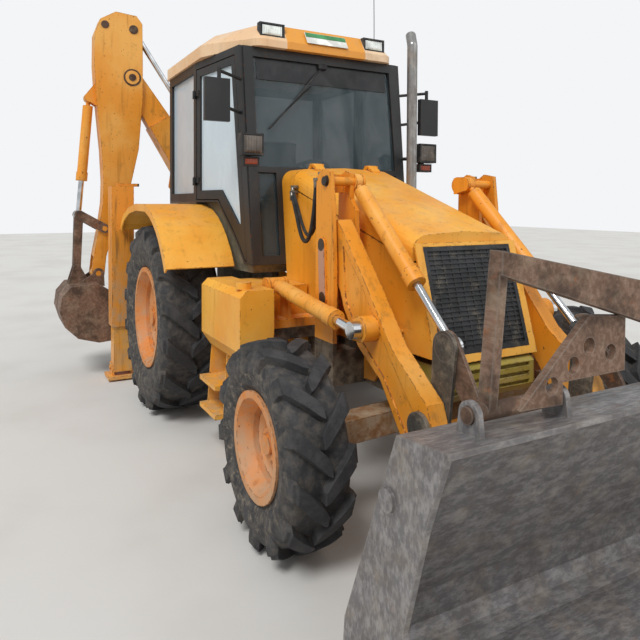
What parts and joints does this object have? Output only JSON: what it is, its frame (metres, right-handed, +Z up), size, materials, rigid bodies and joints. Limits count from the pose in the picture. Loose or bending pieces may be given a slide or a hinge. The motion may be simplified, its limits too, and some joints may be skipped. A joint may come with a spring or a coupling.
{
  "type": "backhoe loader",
  "caption": "Wheeled backhoe loader with a front shovel on two arms, a folding fork frame, a glazed cab and a side-shifting digging arm parked at the rear.",
  "frame": {"origin": "on the ground under the middle of the rear axle", "axes": "+X forward, +Y to the driver's left, +Z up"},
  "size_m": [5.248, 2.9097, 3.3831],
  "materials": {
    "yellow_paint": "faded, chipped",
    "black_paint": "satin",
    "roof_paint": "faded",
    "axle_paint": "rusty, dusty",
    "guard_paint": "dusty",
    "engine_grey": "dull",
    "chrome_rod": "polished",
    "pin_steel": "greased",
    "worn_steel": "worn",
    "rusty_steel": "rusty",
    "stack_steel": "satin",
    "cab_glass": "clear",
    "tub_paint": "dusty",
    "control_plastic": "matte",
    "seat_fabric": "woven",
    "tyre": "dusty"
  },
  "bodies": {
    "base": {"frame": "yellow_paint", "engine": "engine_grey", "front_axle": "axle_paint", "rear_axle": "axle_paint", "hood_sides": "yellow_paint", "grille": "black_paint", "nose_guard": "guard_paint", "exhaust": "stack_steel", "side_boxes": "yellow_paint", "fenders": "yellow_paint", "cab_frame": "black_paint", "cab_floor": "tub_paint", "cab_roof": "roof_paint", "cab_glass": "cab_glass", "cab_controls": "control_plastic", "seat_cushion": "seat_fabric", "work_lamps": "black_paint", "rear_frame": "yellow_paint"},
    "hood": {"hood_lid": "yellow_paint"},
    "right_door": {"door_right": "black_paint", "door_glass_right": "cab_glass"},
    "left_door": {"door_left": "black_paint", "door_glass_left": "cab_glass"},
    "right_knuckle": {"knuckle_right": "axle_paint"},
    "left_knuckle": {"knuckle_left": "axle_paint"},
    "front_right_wheel": {"rim_front_right": "yellow_paint", "tyre_front_right": "tyre"},
    "front_left_wheel": {"rim_front_left": "yellow_paint", "tyre_front_left": "tyre"},
    "rear_right_wheel": {"rim_rear_right": "yellow_paint", "tyre_rear_right": "tyre"},
    "rear_left_wheel": {"rim_rear_left": "yellow_paint", "tyre_rear_left": "tyre"},
    "loader": {"loader_arms": "yellow_paint"},
    "lift_barrel": {"lift_barrels": "yellow_paint"},
    "lift_rod": {"lift_rods": "chrome_rod"},
    "tilt_barrel": {"tilt_barrels": "yellow_paint"},
    "tilt_rod": {"tilt_rods": "chrome_rod"},
    "lever_pin": {"lever_pins": "pin_steel"},
    "lever": {"tip_levers": "yellow_paint"},
    "tip_knuckle": {"tip_knuckles": "black_paint"},
    "tip_link": {"tip_links": "yellow_paint"},
    "nose_pin": {"nose_pins": "pin_steel"},
    "shovel_body": {"shovel": "worn_steel"},
    "forks": {"fork_frame": "rusty_steel"},
    "right_stabiliser": {"stabiliser_right": "black_paint"},
    "left_stabiliser": {"stabiliser_left": "black_paint"},
    "carriage_body": {"carriage": "black_paint"},
    "king_post_body": {"king_post": "yellow_paint"},
    "boom_body": {"boom": "yellow_paint"},
    "dipper_body": {"dipper": "yellow_paint"},
    "boom_ram": {"boom_barrel": "yellow_paint"},
    "boom_ram_rod": {"boom_rod": "chrome_rod"},
    "dipper_ram": {"dipper_barrel": "yellow_paint"},
    "dipper_ram_rod": {"dipper_rod": "chrome_rod"},
    "bucket_ram": {"bucket_barrel": "yellow_paint"},
    "bucket_ram_rod": {"bucket_rod": "chrome_rod"},
    "bucket_lever_body": {"bucket_lever": "rusty_steel"},
    "bucket_link_body": {"bucket_link": "rusty_steel"},
    "bucket_body": {"bucket": "rusty_steel"}
  },
  "joints": [
    {"name": "hood_lift", "type": "hinge", "parent": "base", "child": "hood", "pos_m": [1.072, 0, 1.841], "axis": [0, -1, 0], "range_deg": [0, 50]},
    {"name": "right_door_swing", "type": "hinge", "parent": "base", "child": "right_door", "pos_m": [0.08, -0.774, 1.9], "axis": [0, 0, -1], "range_deg": [0, 110]},
    {"name": "left_door_swing", "type": "hinge", "parent": "base", "child": "left_door", "pos_m": [0.08, 0.774, 1.9], "axis": [0, 0, 1], "range_deg": [0, 110]},
    {"name": "steer_right", "type": "hinge", "parent": "base", "child": "right_knuckle", "pos_m": [2.17, -0.795, 0.48], "axis": [0, 0, 1], "range_deg": [-30, 30]},
    {"name": "steer_left", "type": "hinge", "parent": "base", "child": "left_knuckle", "pos_m": [2.17, 0.795, 0.48], "axis": [0, 0, 1], "range_deg": [-30, 30]},
    {"name": "front_right_spin", "type": "hinge", "parent": "right_knuckle", "child": "front_right_wheel", "pos_m": [2.17, -0.995, 0.48], "axis": [0, 1, 0], "continuous": true},
    {"name": "front_left_spin", "type": "hinge", "parent": "left_knuckle", "child": "front_left_wheel", "pos_m": [2.17, 0.995, 0.48], "axis": [0, 1, 0], "continuous": true},
    {"name": "rear_right_spin", "type": "hinge", "parent": "base", "child": "rear_right_wheel", "pos_m": [0, -0.945, 0.71], "axis": [0, 1, 0], "continuous": true},
    {"name": "rear_left_spin", "type": "hinge", "parent": "base", "child": "rear_left_wheel", "pos_m": [0, 0.945, 0.71], "axis": [0, 1, 0], "continuous": true},
    {"name": "loader_lift", "type": "hinge", "parent": "base", "child": "loader", "pos_m": [1.84, 0, 1.365], "axis": [0, -1, 0], "range_deg": [0, 85]},
    {"name": "lift_ram_swing", "type": "hinge", "parent": "base", "child": "lift_barrel", "pos_m": [1.37, 0, 1.095], "axis": [0, -1, 0], "range_deg": [-1, 45]},
    {"name": "lift_ram_stroke", "type": "slide", "parent": "lift_barrel", "child": "lift_rod", "axis": [0.9926, 0, -0.1213], "range_m": [-0.005, 0.205]},
    {"name": "tilt_ram_swing", "type": "hinge", "parent": "base", "child": "tilt_barrel", "pos_m": [1.87, 0, 1.705], "axis": [0, -1, 0], "range_deg": [-1, 86]},
    {"name": "tilt_ram_stroke", "type": "slide", "parent": "tilt_barrel", "child": "tilt_rod", "axis": [0.7383, 0, -0.6745], "range_m": [-0.24, 0.26]},
    {"name": "lever_pin_turn", "type": "hinge", "parent": "loader", "child": "lever_pin", "pos_m": [2.65, 0, 0.625], "axis": [0, -1, 0], "range_deg": [-92, 7]},
    {"name": "lever_turn", "type": "hinge", "parent": "lever_pin", "child": "lever", "pos_m": [2.65, 0, 0.625], "axis": [0, -1, 0], "range_deg": [-57, 50]},
    {"name": "knuckle_turn", "type": "hinge", "parent": "lever", "child": "tip_knuckle", "pos_m": [2.68, 0, 0.965], "axis": [0, -1, 0], "range_deg": [-7, 92]},
    {"name": "link_turn", "type": "hinge", "parent": "tip_knuckle", "child": "tip_link", "pos_m": [2.68, 0, 0.965], "axis": [0, -1, 0], "range_deg": [-50, 57]},
    {"name": "nose_pin_turn", "type": "hinge", "parent": "loader", "child": "nose_pin", "pos_m": [2.885, 0, 0.33], "axis": [0, -1, 0], "range_deg": [-92, 7]},
    {"name": "shovel_crowd", "type": "hinge", "parent": "nose_pin", "child": "shovel_body", "pos_m": [2.885, 0, 0.33], "axis": [0, -1, 0], "range_deg": [-42, 35]},
    {"name": "fork_fold", "type": "hinge", "parent": "shovel_body", "child": "forks", "pos_m": [3.45, 0, 1.005], "axis": [0, 1, 0], "range_deg": [0, 90]},
    {"name": "right_stabiliser_drop", "type": "slide", "parent": "base", "child": "right_stabiliser", "axis": [0, 0, -1], "range_m": [-0.32, 0.2]},
    {"name": "left_stabiliser_drop", "type": "slide", "parent": "base", "child": "left_stabiliser", "axis": [0, 0, -1], "range_m": [-0.32, 0.2]},
    {"name": "carriage_shift", "type": "slide", "parent": "base", "child": "carriage_body", "axis": [0, 1, 0], "range_m": [-1.14, 0]},
    {"name": "slew", "type": "hinge", "parent": "carriage_body", "child": "king_post_body", "pos_m": [-1.37, 0.57, 0.75], "axis": [0, 0, 1], "range_deg": [-180, 0]},
    {"name": "boom_lift", "type": "hinge", "parent": "king_post_body", "child": "boom_body", "pos_m": [-1.37, 0.37, 0.75], "axis": [-1, 0, 0], "range_deg": [-100, 0]},
    {"name": "boom_ram_swing", "type": "hinge", "parent": "king_post_body", "child": "boom_ram", "pos_m": [-1.37, 0.24, 0.56], "axis": [-1, 0, 0], "range_deg": [-110, 1]},
    {"name": "boom_ram_stroke", "type": "slide", "parent": "boom_ram", "child": "boom_ram_rod", "axis": [0, -0.5486, 0.8361], "range_m": [-0.305, 0.005]},
    {"name": "dipper_swing", "type": "hinge", "parent": "boom_body", "child": "dipper_body", "pos_m": [-1.37, -0.96767, 2.77868], "axis": [-1, 0, 0], "range_deg": [0, 110]},
    {"name": "dipper_ram_swing", "type": "hinge", "parent": "boom_body", "child": "dipper_ram", "pos_m": [-1.37, 0.06163, 1.74449], "axis": [-1, 0, 0], "range_deg": [-1, 5]},
    {"name": "dipper_ram_stroke", "type": "slide", "parent": "dipper_ram", "child": "dipper_ram_rod", "axis": [0, -0.5527, 0.8334], "range_m": [-0.77, 0.005]},
    {"name": "bucket_curl", "type": "hinge", "parent": "dipper_body", "child": "bucket_body", "pos_m": [-1.37, -1.28767, 0.91868], "axis": [-1, 0, 0], "range_deg": [-90, 45]},
    {"name": "bucket_ram_swing", "type": "hinge", "parent": "dipper_body", "child": "bucket_ram", "pos_m": [-1.37, -1.35267, 2.56368], "axis": [-1, 0, 0], "range_deg": [-3, 4]},
    {"name": "bucket_ram_stroke", "type": "slide", "parent": "bucket_ram", "child": "bucket_ram_rod", "axis": [0, -0.0864, -0.9963], "range_m": [-0.13, 0.25]},
    {"name": "bucket_lever_turn", "type": "hinge", "parent": "dipper_body", "child": "bucket_lever_body", "pos_m": [-1.37, -1.22767, 1.33868], "axis": [-1, 0, 0], "range_deg": [-62, 32]},
    {"name": "bucket_link_turn", "type": "hinge", "parent": "bucket_lever_body", "child": "bucket_link_body", "pos_m": [-1.37, -1.44767, 1.46868], "axis": [-1, 0, 0], "range_deg": [-30, 54]}
  ],
  "couplings": [
    {"joint": "steer_left", "follows": "steer_right", "ratio": 1},
    {"joint": "lift_ram_swing", "follows": "loader_lift", "ratio": 0.516},
    {"joint": "lift_ram_stroke", "follows": "loader_lift", "m_per_rad": 0.1358},
    {"joint": "tilt_ram_swing", "follows": "loader_lift", "ratio": 1},
    {"joint": "tilt_ram_stroke", "follows": "shovel_crowd", "m_per_rad": -0.27},
    {"joint": "lever_pin_turn", "follows": "loader_lift", "ratio": -1},
    {"joint": "lever_turn", "follows": "shovel_crowd", "ratio": 1},
    {"joint": "knuckle_turn", "follows": "loader_lift", "ratio": 1},
    {"joint": "link_turn", "follows": "shovel_crowd", "ratio": -1},
    {"joint": "nose_pin_turn", "follows": "loader_lift", "ratio": -1},
    {"joint": "boom_ram_swing", "follows": "boom_lift", "ratio": 1.084},
    {"joint": "boom_ram_stroke", "follows": "boom_lift", "m_per_rad": 0.172},
    {"joint": "dipper_ram_swing", "follows": "dipper_swing", "ratio": 0.03},
    {"joint": "dipper_ram_stroke", "follows": "dipper_swing", "m_per_rad": -0.397},
    {"joint": "bucket_ram_swing", "follows": "bucket_curl", "ratio": -0.03},
    {"joint": "bucket_ram_stroke", "follows": "bucket_curl", "m_per_rad": -0.155},
    {"joint": "bucket_lever_turn", "follows": "bucket_curl", "ratio": 0.68},
    {"joint": "bucket_link_turn", "follows": "bucket_curl", "ratio": -0.56}
  ]
}
